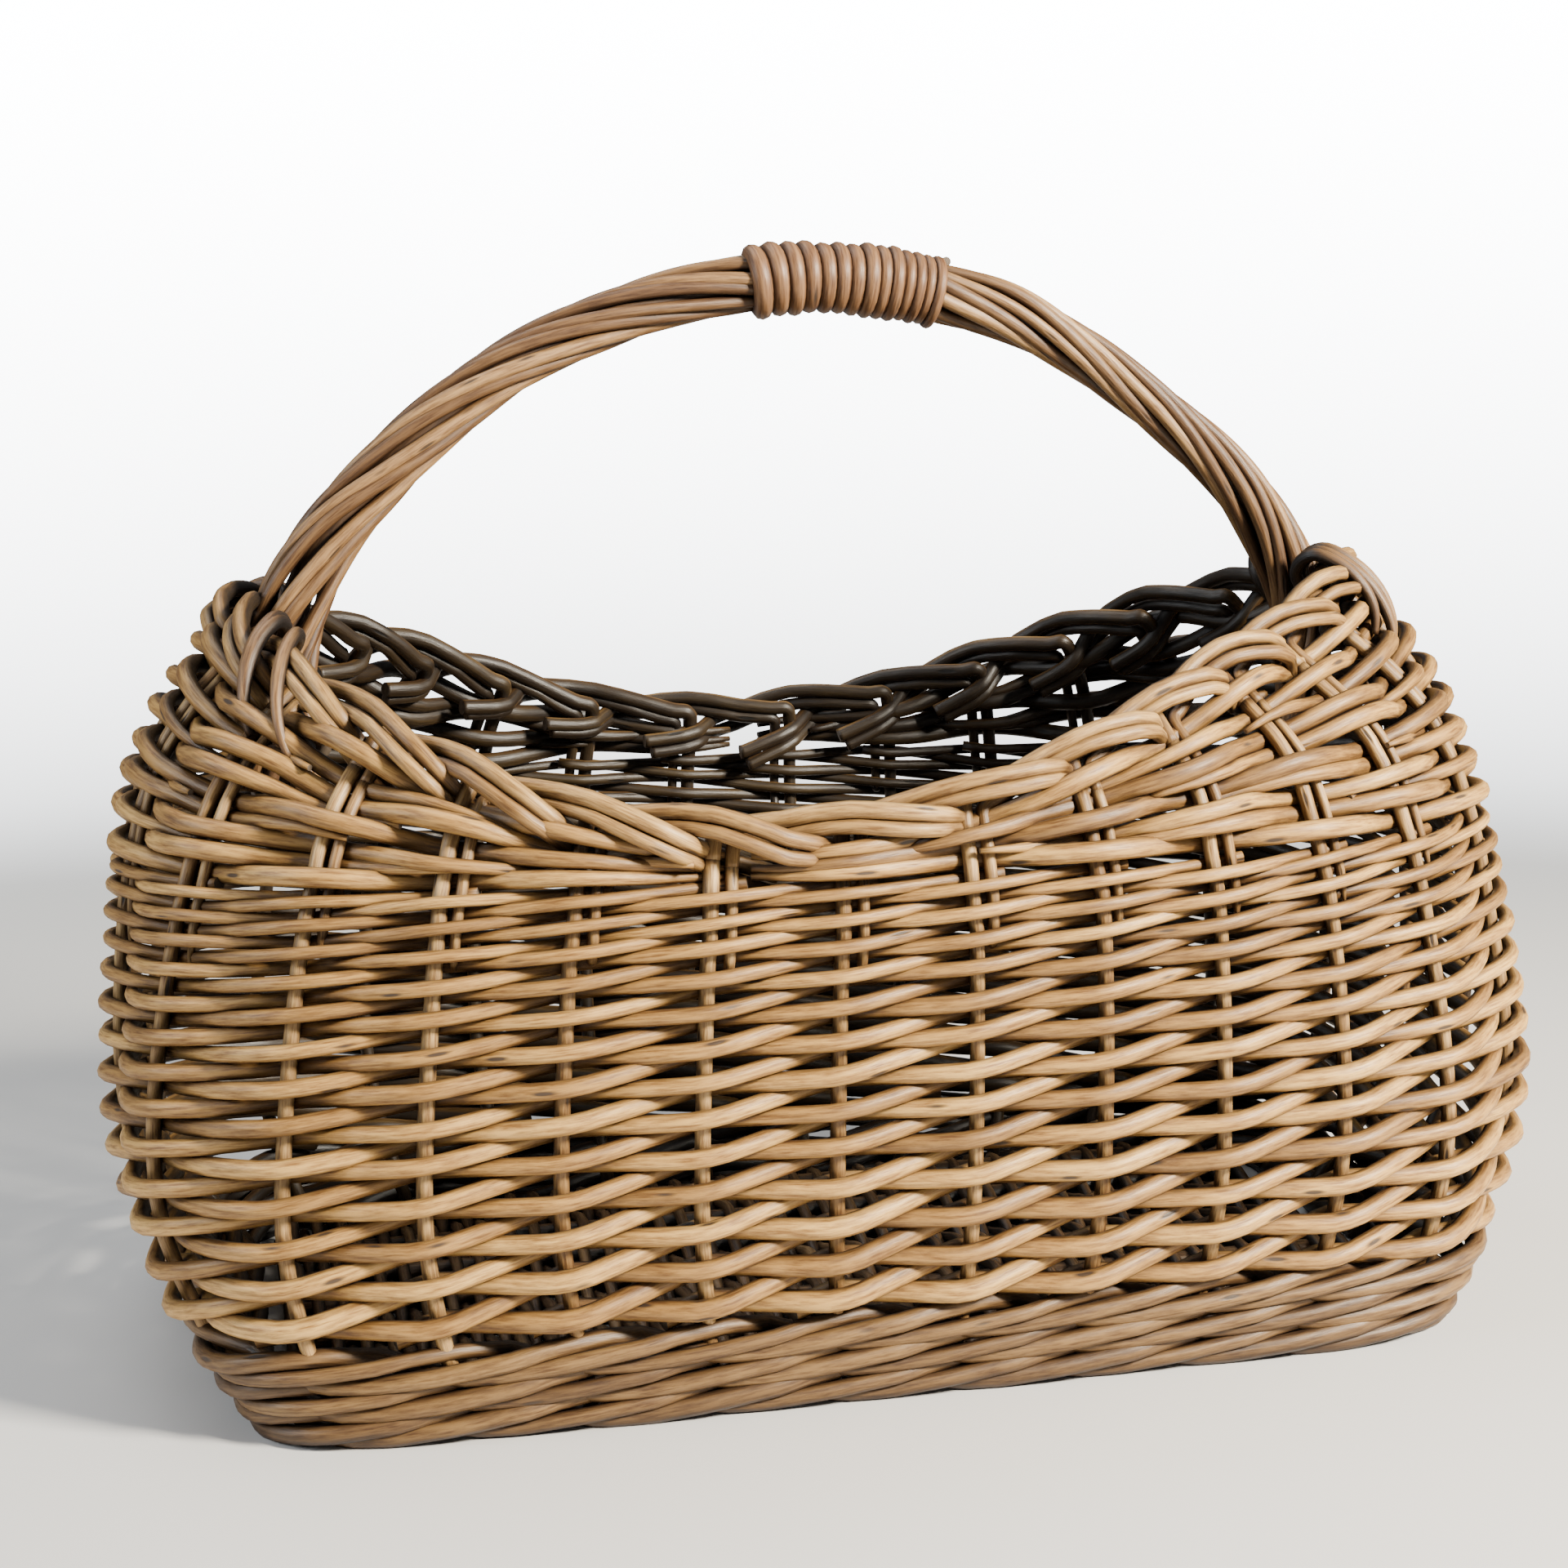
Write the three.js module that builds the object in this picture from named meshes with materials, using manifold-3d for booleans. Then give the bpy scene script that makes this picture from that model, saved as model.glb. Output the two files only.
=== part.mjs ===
// Woven willow market basket with a fixed roped handle.
// Millimetres, +Z up. The origin is on the underside, in the middle of the base.
// +X runs along the length towards the right-hand end, -Y is the front.

import * as THREE from 'three';
import { ParametricGeometry } from 'three/addons/geometries/ParametricGeometry.js';
import { mergeVertices } from 'three/addons/utils/BufferGeometryUtils.js';
import Module from 'manifold-3d';

const wasm = await Module();
wasm.setup();

// Body outline, taken at the middle of the wall every 30 mm from the base up.
// The base is a long rectangle, the belly is fuller and the mouth draws in to a boat shape.
const LEVEL_STEP = 30;
const HALF_LENGTH = [176, 195, 208, 211.5, 210, 207, 199, 180.5, 156];
const HALF_WIDTH = [94, 100.5, 105.5, 108.5, 110.5, 111, 103, 78, 43];
const SQUARENESS = [9, 6, 4.5, 3.6, 3.1, 2.7, 2.4, 2.1, 1.85];

// Height of the rim from the middle of a long side to the middle of an end, in equal steps.
// At the front it is lowest a little to the left of the middle, as a share of the way round.
const RIM_HEIGHT = [172, 177.5, 191.5, 206, 216.5, 226];
const FRONT_DIP_SHIFT = 0.033;

// Wall and clearances.
const WALL_OUT = 8;
const WALL_IN = 8;
const GAP = 0.3;
const BORDER_GAP = 1;

// Upright stakes: ten along each long side and four round each end.
const STAKES_LONG = 10;
const STAKES_END = 4;
const CORNER_AT = 0.1523;
const STAKE_RADIUS = 2.5;
const CHANNEL_RADIUS = 4.2;
const STAKE_FOOT = 4;
const STAKE_INTO_BORDER = 4;

// Bands of weaving, from the bottom up.
const UPSETT_BOTTOM = 0.6;
const UPSETT_TOP = 22;
const ROUND_TOPS = [65, 108, 150];
const BORDER_DEPTH = 13;
const BORDER_CHAMFER = 4;

// Base.
const BASE_THICK = 10;
const BASE_STICKS = 7;
const EDGE_STICK_Y = 78;
const EDGE_STICK_RADIUS = 4;
const INNER_STICK_RADIUS = 3;

// Handle: a bow rod with ten rods roped round it, and a wrapped grip near the top.
// The grip sits a little to the right of the middle.
const BOW_TOP = 314.5;
const BOW_SHOULDER = 192;
const BOW_FOOT = 168;
const BOW_HALF_SPAN = 162;
const BOW_FULLNESS = 1.83;
const BOW_RADIUS = 4.2;
const STRANDS = 10;
const STRAND_RADIUS = 1.95;
const STRAND_RING = 6.75;
const STRAND_TURNS = 2.4;
const ROPE_CLEAR = 9.6;
const GRIP_LENGTH = 62;
const GRIP_SHIFT = 11.5;
const GRIP_TURNS = 14;
const GRIP_INNER = 9.1;
const GRIP_VALLEY = 10.3;
const GRIP_CREST = 11.5;

// Short rods that hook over the border beside each foot of the handle.
const HOOK_RADIUS = 2.4;
const HOOK_SPREAD = 26;

const willow = (colour, roughness) =>
  new THREE.MeshStandardMaterial({ color: colour, roughness, metalness: 0 });

const COLOURS = {
  base: 0x8a6a44,
  baseStick: 0x9c7a50,
  stake: 0xd8b47c,
  upsett: 0xa98250,
  siding: 0xb68f5c,
  packing: 0xb08a5e,
  border: 0xb8925f,
  bow: 0x9a7448,
  strand: 0xb3895a,
  grip: 0xa87a55,
  hook: 0xb08a58,
};

const basket = new THREE.Group();
basket.name = 'woven_market_basket';

// ---------------------------------------------------------------- outline

function along(values, position) {
  const knots = values.map((value, i) => new THREE.Vector2(i, value));
  const share = Math.min(Math.max(position / (values.length - 1), 0), 1);
  return new THREE.SplineCurve(knots).getPoint(share).y;
}

function corner(value, power) {
  return Math.sign(value) * Math.abs(value) ** power;
}

// Closed outline at one height, as points with their share of the way round.
// It starts in the middle of the front and goes towards +X.
const outlines = new Map();

function outline(z) {
  const key = z.toFixed(3);
  if (outlines.has(key)) return outlines.get(key);
  const a = along(HALF_LENGTH, z / LEVEL_STEP);
  const b = along(HALF_WIDTH, z / LEVEL_STEP);
  const n = along(SQUARENESS, z / LEVEL_STEP);
  const points = [];
  let length = 0;
  for (let i = 0; i <= 360; i += 1) {
    const turn = (i * Math.PI) / 180;
    const x = a * corner(Math.sin(turn), 2 / n);
    const y = -b * corner(Math.cos(turn), 2 / n);
    if (i > 0) length += Math.hypot(x - points[i - 1].x, y - points[i - 1].y);
    points.push({ x, y, length });
  }
  points.forEach((point) => {
    point.share = point.length / length;
  });
  outlines.set(key, points);
  return points;
}

function onOutline(share, z) {
  const points = outline(z);
  const s = share - Math.floor(share);
  let i = 1;
  while (points[i].share < s) i += 1;
  const from = points[i - 1];
  const to = points[i];
  const t = (s - from.share) / (to.share - from.share);
  return new THREE.Vector2(from.x + (to.x - from.x) * t, from.y + (to.y - from.y) * t);
}

// Point of the wall at a share of the way round, a height and a distance outwards.
function wallPoint(share, z, outwards = 0) {
  const here = onOutline(share, z);
  const before = onOutline(share - 0.004, z);
  const after = onOutline(share + 0.004, z);
  const normal = new THREE.Vector2(after.y - before.y, before.x - after.x).normalize();
  return new THREE.Vector3(here.x + normal.x * outwards, here.y + normal.y * outwards, z);
}

function rimHeight(share) {
  let place = share - Math.round(share);
  const atFront = 1 - (Math.abs(place) / 0.25) ** 4;
  if (atFront > 0) place += FRONT_DIP_SHIFT * atFront;
  const fromSide = Math.abs(place * 4) % 2;
  const t = fromSide > 1 ? 2 - fromSide : fromSide;
  return along(RIM_HEIGHT, t * (RIM_HEIGHT.length - 1));
}

// Stakes as shares of the way round, counted from the left front corner to the right,
// round the right-hand end, along the back and round the left-hand end.
function stakePlaces() {
  const places = [];
  const sideStep = (2 * CORNER_AT) / (STAKES_LONG - 1);
  const endStep = (0.5 - 2 * CORNER_AT) / (STAKES_END + 1);
  for (const [side, middle] of [['front', 0], ['back', 0.5]]) {
    for (let i = 0; i < STAKES_LONG; i += 1) {
      places.push({ name: `stake_${side}_${i + 1}`, share: middle - CORNER_AT + i * sideStep });
    }
    const end = side === 'front' ? 'right' : 'left';
    for (let i = 0; i < STAKES_END; i += 1) {
      places.push({
        name: `stake_${end}_${i + 1}`,
        share: middle + CORNER_AT + (i + 1) * endStep,
      });
    }
  }
  return places;
}

const STAKES = stakePlaces();

// The rings are cut at each stake and half way between two stakes.
const RING_SHARES = STAKES.flatMap((stake, i) => {
  const next = i + 1 < STAKES.length ? STAKES[i + 1].share : STAKES[0].share + 1;
  return [stake.share, (stake.share + next) / 2];
});

// ---------------------------------------------------------------- solids

function solid(geometry) {
  const bare = geometry.index ? geometry.toNonIndexed() : geometry.clone();
  bare.deleteAttribute('normal');
  bare.deleteAttribute('uv');
  const joined = mergeVertices(bare, 1e-4);
  const vertProperties = new Float32Array(joined.attributes.position.array);
  const triVerts = new Uint32Array(joined.index.array);
  if (signedVolume(vertProperties, triVerts) < 0) {
    for (let i = 0; i < triVerts.length; i += 3) {
      [triVerts[i], triVerts[i + 1]] = [triVerts[i + 1], triVerts[i]];
    }
  }
  return new wasm.Manifold(new wasm.Mesh({ numProp: 3, vertProperties, triVerts }));
}

function signedVolume(points, triangles) {
  const at = (i) => new THREE.Vector3().fromArray(points, triangles[i] * 3);
  let sum = 0;
  for (let i = 0; i < triangles.length; i += 3) {
    sum += at(i).dot(at(i + 1).cross(at(i + 2)));
  }
  return sum / 6;
}

function add(name, body, colour, roughness = 0.6) {
  const shape = body.getMesh();
  const geometry = new THREE.BufferGeometry();
  const positions = new Float32Array(shape.numVert * 3);
  for (let i = 0; i < shape.numVert; i += 1) {
    for (let k = 0; k < 3; k += 1) {
      positions[3 * i + k] = shape.vertProperties[shape.numProp * i + k];
    }
  }
  geometry.setAttribute('position', new THREE.BufferAttribute(positions, 3));
  geometry.setIndex(Array.from(shape.triVerts));
  geometry.computeVertexNormals();
  const mesh = new THREE.Mesh(geometry, willow(colour, roughness));
  mesh.name = name;
  basket.add(mesh);
}

function polygon(radius, sides) {
  const shape = new THREE.Shape();
  for (let i = 0; i < sides; i += 1) {
    const turn = (2 * Math.PI * (i + 0.5)) / sides;
    const point = [radius * Math.cos(turn), radius * Math.sin(turn)];
    if (i === 0) shape.moveTo(...point);
    else shape.lineTo(...point);
  }
  shape.closePath();
  return shape;
}

function rod(path, radius, sides, steps) {
  const geometry = new THREE.ExtrudeGeometry(polygon(radius, sides), {
    steps,
    extrudePath: path,
    bevelEnabled: false,
  });
  return solid(geometry);
}

// Closed ring of wall. The profile is a loop of [outwards, height] pairs for each share.
function ring(profileAt) {
  const corners = profileAt(0).length;
  const slices = RING_SHARES.length;
  const geometry = new ParametricGeometry((u, v, target) => {
    const share = RING_SHARES[Math.round(u * slices) % slices];
    const [outwards, z] = profileAt(share)[Math.round(v * corners) % corners];
    target.copy(wallPoint(share, z, outwards));
  }, slices, corners);
  return solid(geometry);
}

// Band of weaving between two heights, with its belly followed in equal steps.
function band(lowAt, highAt, steps) {
  return ring((share) => {
    const low = lowAt(share);
    const high = highAt(share);
    const profile = [];
    for (let i = 0; i <= steps; i += 1) profile.push([WALL_OUT, low + ((high - low) * i) / steps]);
    for (let i = steps; i >= 0; i -= 1) profile.push([-WALL_IN, low + ((high - low) * i) / steps]);
    return profile;
  });
}

// ---------------------------------------------------------------- stakes

function stakePath(share, foot, head) {
  const points = [];
  for (let i = 0; i <= 8; i += 1) {
    points.push(wallPoint(share, foot + ((head - foot) * i) / 8));
  }
  return new THREE.CatmullRomCurve3(points);
}

const channels = [];

for (const stake of STAKES) {
  const head = rimHeight(stake.share) - BORDER_DEPTH + STAKE_INTO_BORDER;
  add(stake.name, rod(stakePath(stake.share, STAKE_FOOT, head), STAKE_RADIUS, 5, 5), COLOURS.stake);
  const channel = stakePath(stake.share, STAKE_FOOT - GAP, head + GAP);
  channels.push(rod(channel, CHANNEL_RADIUS, 4, 5));
}

const stakeChannels = wasm.Manifold.union(channels);

// ---------------------------------------------------------------- base

function baseOutline() {
  const shape = new THREE.Shape();
  RING_SHARES.forEach((share, i) => {
    const point = wallPoint(share, 0, -WALL_IN - GAP - 0.2);
    if (i === 0) shape.moveTo(point.x, point.y);
    else shape.lineTo(point.x, point.y);
  });
  shape.closePath();
  return shape;
}

const baseSlab = new THREE.ExtrudeGeometry(baseOutline(), {
  depth: BASE_THICK,
  bevelEnabled: false,
});
let baseWeave = solid(baseSlab);

for (let i = 0; i < BASE_STICKS; i += 1) {
  const y = -EDGE_STICK_Y + (2 * EDGE_STICK_Y * i) / (BASE_STICKS - 1);
  const edge = i === 0 || i === BASE_STICKS - 1;
  const radius = edge ? EDGE_STICK_RADIUS : INNER_STICK_RADIUS;
  const half = edge ? 150 : 164;
  const line = (reach) =>
    new THREE.LineCurve3(
      new THREE.Vector3(-reach, y, BASE_THICK / 2),
      new THREE.Vector3(reach, y, BASE_THICK / 2),
    );
  add(`base_stick_${i + 1}`, rod(line(half), radius, 8, 1), COLOURS.baseStick);
  baseWeave = baseWeave.subtract(rod(line(200), radius + GAP, 8, 1));
}
add('base_weave', baseWeave, COLOURS.base, 0.75);

// ---------------------------------------------------------------- wall weaving

const upsett = band(() => UPSETT_BOTTOM, () => UPSETT_TOP - GAP, 1);
add('upsett_wale', upsett.subtract(stakeChannels), COLOURS.upsett);

ROUND_TOPS.forEach((top, i) => {
  const bottom = i === 0 ? UPSETT_TOP : ROUND_TOPS[i - 1];
  const round = band(() => bottom, () => top - GAP, 2);
  add(`siding_round_${i + 1}`, round.subtract(stakeChannels), COLOURS.siding);
});

// The packing fills the space between the level siding and the rising rim.
// It is two pieces that meet at the front and the back, where the rim is low.
const packingLow = ROUND_TOPS[ROUND_TOPS.length - 1];
const packing = band(
  () => packingLow,
  (share) => rimHeight(share) - BORDER_DEPTH - BORDER_GAP,
  2,
).subtract(stakeChannels);
const rightHalf = solid(new THREE.BoxGeometry(400, 400, 400)).translate([200 + GAP / 2, 0, 200]);
const leftHalf = solid(new THREE.BoxGeometry(400, 400, 400)).translate([-200 - GAP / 2, 0, 200]);
add('packing_right', packing.intersect(rightHalf), COLOURS.packing);
add('packing_left', packing.intersect(leftHalf), COLOURS.packing);

// ---------------------------------------------------------------- handle

class BowPath extends THREE.Curve {
  getPoint(t, target = new THREE.Vector3()) {
    const leg = BOW_SHOULDER - BOW_FOOT;
    const share = 0.06;
    if (t < share) return target.set(-BOW_HALF_SPAN, 0, BOW_FOOT + (leg * t) / share);
    if (t > 1 - share) return target.set(BOW_HALF_SPAN, 0, BOW_FOOT + (leg * (1 - t)) / share);
    const turn = (Math.PI * (t - share)) / (1 - 2 * share);
    const x = -BOW_HALF_SPAN * corner(Math.cos(turn), 2 / BOW_FULLNESS);
    const rise = BOW_TOP - BOW_SHOULDER;
    return target.set(x, 0, BOW_SHOULDER + rise * corner(Math.sin(turn), 2 / BOW_FULLNESS));
  }
}

const bow = new BowPath();

// Point beside the bow: along it, at a distance from its centre and an angle round it.
function besideBow(t, distance, angle) {
  const centre = bow.getPointAt(t);
  const tangent = bow.getTangentAt(t);
  const outwards = new THREE.Vector3(-tangent.z, 0, tangent.x);
  const sideways = new THREE.Vector3(0, 1, 0);
  return centre
    .addScaledVector(outwards, distance * Math.cos(angle))
    .addScaledVector(sideways, distance * Math.sin(angle));
}

class StrandPath extends THREE.Curve {
  constructor(phase) {
    super();
    this.phase = phase;
  }

  getPoint(t) {
    const angle = this.phase - 2 * Math.PI * STRAND_TURNS * t;
    return besideBow(0.002 + 0.996 * t, STRAND_RING, angle);
  }
}

add('handle_bow', rod(bow, BOW_RADIUS, 5, 20), COLOURS.bow);

for (let i = 0; i < STRANDS; i += 1) {
  const strand = new StrandPath((2 * Math.PI * (i + 0.5)) / STRANDS);
  add(`handle_strand_${i + 1}`, rod(strand, STRAND_RADIUS, 5, 34), COLOURS.strand);
}

// Grip: a cane wound round the roped handle, a shallow ridge for each turn.
const gripShare = GRIP_LENGTH / bow.getLength();
const gripMiddle = 0.5 + GRIP_SHIFT / bow.getLength();
const gripProfile = [];
for (let i = 0; i < GRIP_TURNS; i += 1) {
  gripProfile.push([i / GRIP_TURNS, GRIP_VALLEY]);
  gripProfile.push([(i + 0.5) / GRIP_TURNS, GRIP_CREST]);
}
gripProfile.push([1, GRIP_VALLEY]);
for (let i = 6; i >= 0; i -= 1) gripProfile.push([i / 6, GRIP_INNER]);

const gripSleeve = new ParametricGeometry((u, v, target) => {
  const [place, radius] = gripProfile[Math.round(v * gripProfile.length) % gripProfile.length];
  const turn = 2 * Math.PI * (u % 1);
  target.copy(besideBow(gripMiddle + (place - 0.5) * gripShare, radius, turn));
}, 10, gripProfile.length);
add('grip_wrap', solid(gripSleeve), COLOURS.grip);

// ---------------------------------------------------------------- border

const border = ring((share) => {
  const top = rimHeight(share);
  const low = top - BORDER_DEPTH;
  return [
    [WALL_OUT, low],
    [WALL_OUT, top - BORDER_CHAMFER],
    [WALL_OUT - BORDER_CHAMFER, top],
    [BORDER_CHAMFER - WALL_IN, top],
    [-WALL_IN, top - BORDER_CHAMFER],
    [-WALL_IN, low],
  ];
});

// The border stands aside where the handle goes down into each end.
const handlePassage = rod(bow, ROPE_CLEAR, 10, 24);
add('border', border.subtract(stakeChannels).subtract(handlePassage), COLOURS.border);

// ---------------------------------------------------------------- hooks over the border

const HOOK_PROFILE = [
  [-13.4, -24],
  [-13.4, -8],
  [-11.5, 3],
  [-5, 6],
  [5, 6],
  [11.5, 3],
  [13.4, -8],
  [13.4, -22],
];

for (const [end, middle] of [['right', 0.25], ['left', 0.75]]) {
  for (const side of [-1, 1]) {
    const share = middle + (side * HOOK_SPREAD) / 820;
    const top = rimHeight(share);
    const points = HOOK_PROFILE.map(([outwards, rise]) => wallPoint(share, top + rise, outwards));
    const path = new THREE.CatmullRomCurve3(points, false, 'centripetal');
    const place = (side < 0) === (end === 'right') ? 'front' : 'back';
    add(`handle_hook_${end}_${place}`, rod(path, HOOK_RADIUS, 5, 9), COLOURS.hook);
  }
}

export default basket;
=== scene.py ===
import math

import bmesh
import bpy
import numpy as np
from mathutils import Matrix, Vector


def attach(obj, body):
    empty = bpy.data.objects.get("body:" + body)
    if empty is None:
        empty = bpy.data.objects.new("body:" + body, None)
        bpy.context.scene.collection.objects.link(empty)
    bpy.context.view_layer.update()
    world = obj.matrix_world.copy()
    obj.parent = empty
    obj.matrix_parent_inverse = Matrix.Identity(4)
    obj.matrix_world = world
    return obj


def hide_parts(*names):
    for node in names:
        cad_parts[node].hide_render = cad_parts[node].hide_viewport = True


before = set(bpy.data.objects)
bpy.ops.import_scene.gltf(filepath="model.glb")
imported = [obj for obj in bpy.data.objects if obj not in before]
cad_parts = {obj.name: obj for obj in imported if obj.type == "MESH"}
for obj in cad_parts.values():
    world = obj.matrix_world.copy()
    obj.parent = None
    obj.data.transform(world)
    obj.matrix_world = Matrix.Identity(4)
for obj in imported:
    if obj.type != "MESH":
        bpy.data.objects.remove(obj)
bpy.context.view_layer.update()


# ------------------------------------------------------------------ studio
# A plain pale floor that fades out into a pale background, a strong warm light at
# the front on the right, a weak cool one on the left and a dim one overhead.

eye = Vector((-0.1919, -0.8031, 0.3068))
turn_left, tip_up, roll = -0.2239, -0.1749, -0.0127
ahead = Vector((-math.sin(turn_left) * math.cos(tip_up),
                math.cos(turn_left) * math.cos(tip_up),
                math.sin(tip_up)))
level_right = Vector((math.cos(turn_left), math.sin(turn_left), 0.0))
level_up = level_right.cross(ahead)
right = level_right * math.cos(roll) + level_up * math.sin(roll)
up = level_up * math.cos(roll) - level_right * math.sin(roll)

lens = bpy.data.cameras.new("camera")
lens.sensor_width = 36.0
lens.lens = 62.22
lens.clip_start = 0.01
camera = bpy.data.objects.new("camera", lens)
pose = Matrix((right, up, -ahead)).transposed().to_4x4()
pose.translation = eye
camera.matrix_world = pose
bpy.context.scene.collection.objects.link(camera)
bpy.context.scene.camera = camera

floor_radius, floor_whole_to, floor_gone_at = 1.6, 0.38, 1.05
floor_mesh = bpy.data.meshes.new("floor")
shape = bmesh.new()
bmesh.ops.create_circle(shape, cap_ends=True, segments=96, radius=floor_radius)
shape.to_mesh(floor_mesh)
shape.free()
floor = bpy.data.objects.new("floor", floor_mesh)
bpy.context.scene.collection.objects.link(floor)
floor_paint = bpy.data.materials.new("pale_floor")
floor_paint.use_nodes = True
tree = floor_paint.node_tree
paint = tree.nodes["Principled BSDF"]
paint.inputs["Base Color"].default_value = (0.60, 0.59, 0.575, 1)
paint.inputs["Roughness"].default_value = 0.9
place = tree.nodes.new("ShaderNodeTexCoord")
reach = tree.nodes.new("ShaderNodeVectorMath")
reach.operation = "LENGTH"
tree.links.new(place.outputs["Object"], reach.inputs[0])
fade = tree.nodes.new("ShaderNodeMapRange")
fade.interpolation_type = "SMOOTHSTEP"
fade.inputs["From Min"].default_value = floor_gone_at
fade.inputs["From Max"].default_value = floor_whole_to
tree.links.new(reach.outputs["Value"], fade.inputs["Value"])
tree.links.new(fade.outputs[0], paint.inputs["Alpha"])
floor_mesh.materials.append(floor_paint)

lit_point = Vector((0.0, 0.0, 0.12))
for name, place, size, power, tint in [
        ("key_light", (0.92, -0.93, 0.90), 0.26, 106.0, (1.0, 0.93, 0.80)),
        ("fill_light", (-1.15, -0.20, 0.62), 0.5, 10.0, (0.90, 0.95, 1.0)),
        ("top_light", (-0.35, 0.30, 1.3), 0.7, 8.0, (0.95, 0.98, 1.0))]:
    lamp = bpy.data.lights.new(name, "AREA")
    lamp.shape = "SQUARE"
    lamp.size = size
    lamp.energy = power
    lamp.color = tint
    holder = bpy.data.objects.new(name, lamp)
    holder.location = place
    aim = lit_point - Vector(place)
    holder.rotation_euler = aim.to_track_quat("-Z", "Y").to_euler()
    bpy.context.scene.collection.objects.link(holder)

# The background is bright where it is seen, brightest at the top, and dim where it
# only lights the basket.
sky = bpy.data.worlds.new("studio")
sky.use_nodes = True
tree = sky.node_tree
dim = tree.nodes["Background"]
dim.inputs["Color"].default_value = (0.86, 0.90, 0.95, 1)
dim.inputs["Strength"].default_value = 0.20
seen = tree.nodes.new("ShaderNodeBackground")
seen.inputs["Strength"].default_value = 1.0
way = tree.nodes.new("ShaderNodeTexCoord")
split = tree.nodes.new("ShaderNodeSeparateXYZ")
tree.links.new(way.outputs["Generated"], split.inputs[0])
shade = tree.nodes.new("ShaderNodeValToRGB")
shade.color_ramp.elements[0].position = 0.30
shade.color_ramp.elements[0].color = (1.1, 1.12, 1.12, 1)
shade.color_ramp.elements[1].position = 0.60
shade.color_ramp.elements[1].color = (16.0, 16.3, 16.6, 1)
lift = tree.nodes.new("ShaderNodeMath")
lift.operation = "ADD"
lift.inputs[1].default_value = 0.5
tree.links.new(split.outputs[2], lift.inputs[0])
tree.links.new(lift.outputs[0], shade.inputs[0])
tree.links.new(shade.outputs[0], seen.inputs["Color"])
ray = tree.nodes.new("ShaderNodeLightPath")
both = tree.nodes.new("ShaderNodeMixShader")
tree.links.new(ray.outputs["Is Camera Ray"], both.inputs[0])
tree.links.new(dim.outputs[0], both.inputs[1])
tree.links.new(seen.outputs[0], both.inputs[2])
tree.links.new(both.outputs[0], tree.nodes["World Output"].inputs["Surface"])
bpy.context.scene.world = sky


# ------------------------------------------------------------------ base
# The base is seven willow sticks laid lengthwise, the outer two thicker, with
# thin rods woven across them and packed close. It is a long rectangle with
# slightly rounded corners, and the whole basket stands on it.

# Outline of the body at the middle of its wall, in millimetres, at even steps up from
# the base. The higher the squareness, the tighter the corners.
level_gap = 30.0
half_length = [176, 195, 208, 211.5, 210, 207, 199, 180.5, 156]
half_width = [94, 100.5, 105.5, 108.5, 110.5, 111, 103, 78, 43]
squareness = [9, 6, 4.5, 3.6, 3.1, 2.7, 2.4, 2.1, 1.85]


def smoothly(values, position):
    """Value at a place between evenly spaced values, on a smooth curve through them."""
    values = np.asarray(values, float)
    place = np.clip(np.asarray(position, float), 0, len(values) - 1)
    i = np.minimum(place.astype(int), len(values) - 2)
    t = place - i
    before, here = values[np.maximum(i - 1, 0)], values[i]
    there, after = values[i + 1], values[np.minimum(i + 2, len(values) - 1)]
    leave, arrive = (there - before) / 2, (after - here) / 2
    return ((2 * here - 2 * there + leave + arrive) * t ** 3
            + (3 * there - 3 * here - 2 * leave - arrive) * t ** 2 + leave * t + here)


# The middle of the wall as a grid of points, and the way out from it at each of them.
wall_top, wall_row_gap, wall_columns = 262, 2.0, 1440
wall_heights = np.arange(0, wall_top, wall_row_gap)
wall_shares = np.linspace(0, 1, wall_columns + 1)
wall_x = np.zeros((len(wall_heights), len(wall_shares)))
wall_y = np.zeros_like(wall_x)
angle = np.linspace(0, 2 * math.pi, wall_columns + 1)
for row, height in enumerate(wall_heights):
    a = float(smoothly(half_length, height / level_gap))
    b = float(smoothly(half_width, height / level_gap))
    n = float(smoothly(squareness, height / level_gap))
    x = a * np.sign(np.sin(angle)) * np.abs(np.sin(angle)) ** (2 / n)
    y = -b * np.sign(np.cos(angle)) * np.abs(np.cos(angle)) ** (2 / n)
    run = np.concatenate([[0], np.cumsum(np.hypot(np.diff(x), np.diff(y)))])
    wall_x[row] = np.interp(wall_shares, run / run[-1], x)
    wall_y[row] = np.interp(wall_shares, run / run[-1], y)

round_x, round_y = np.gradient(wall_x, axis=1), np.gradient(wall_y, axis=1)
rise_x = np.gradient(wall_x, wall_row_gap, axis=0)
rise_y = np.gradient(wall_y, wall_row_gap, axis=0)
out_x, out_y = round_y, -round_x
out_z = -(rise_x * out_x + rise_y * out_y)
size = np.sqrt(out_x ** 2 + out_y ** 2 + out_z ** 2)
wall_out = np.stack([out_x / size, out_y / size, out_z / size], axis=2)
wall_flat = np.dstack([wall_x, wall_y])


def on_wall(share, height, out=0.0):
    """Points in millimetres: share of the way round from the middle of the front
    towards the right-hand end, height, and distance out from the middle of the wall."""
    share, height, out = np.broadcast_arrays(np.asarray(share, float), height, out)
    column = np.mod(share, 1.0) * wall_columns
    row = np.clip(height / wall_row_gap, 0, len(wall_heights) - 1.001)
    c, r = column.astype(int), row.astype(int)
    past_c, past_r = (column - c)[..., None], (row - r)[..., None]

    def blend(table):
        low = table[r, c] * (1 - past_c) + table[r, c + 1] * past_c
        high = table[r + 1, c] * (1 - past_c) + table[r + 1, c + 1] * past_c
        return low * (1 - past_r) + high * past_r

    point = np.concatenate([blend(wall_flat), height[..., None]], axis=-1)
    return point + blend(wall_out) * out[..., None]


mm = 0.001


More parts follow.
